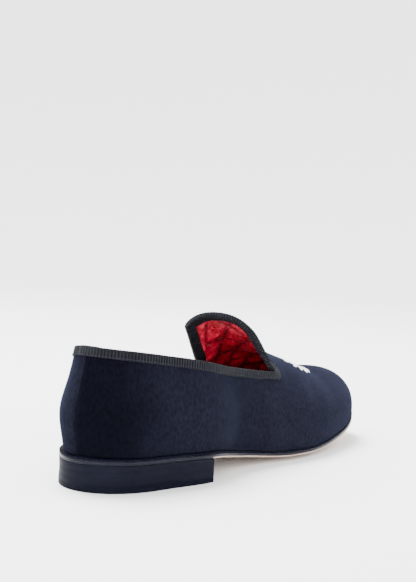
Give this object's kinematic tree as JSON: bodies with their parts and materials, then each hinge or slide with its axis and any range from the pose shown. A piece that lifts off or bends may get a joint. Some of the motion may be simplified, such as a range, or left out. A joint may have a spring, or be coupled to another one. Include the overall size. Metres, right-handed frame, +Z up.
{
  "type": "velvet slipper loafer",
  "caption": "Right velvet slipper loafer with ribbon-bound collar, rounded tongue, leather outsole and low stacked heel, standing empty.",
  "frame": {"origin": "on the floor, under the middle of the shoe's box", "axes": "+X towards the toe, +Y towards the inner side of the foot, +Z up"},
  "size_m": [0.2932, 0.0942, 0.1013],
  "materials": {
    "navy_velvet": "velvet pile",
    "black_ribbon": "ribbed, matte",
    "red_lining": "satin",
    "edge_leather": "painted, satin",
    "sole_leather": "natural, smooth",
    "heel_leather": "painted stack, polished",
    "heel_rubber": "matte"
  },
  "bodies": {
    "root": {"upper": "navy_velvet", "topline_binding": "black_ribbon", "insole": "red_lining", "welt": "edge_leather", "outsole": "sole_leather", "heel_stack": "heel_leather", "heel_top_piece": "heel_rubber"}
  },
  "joints": []
}
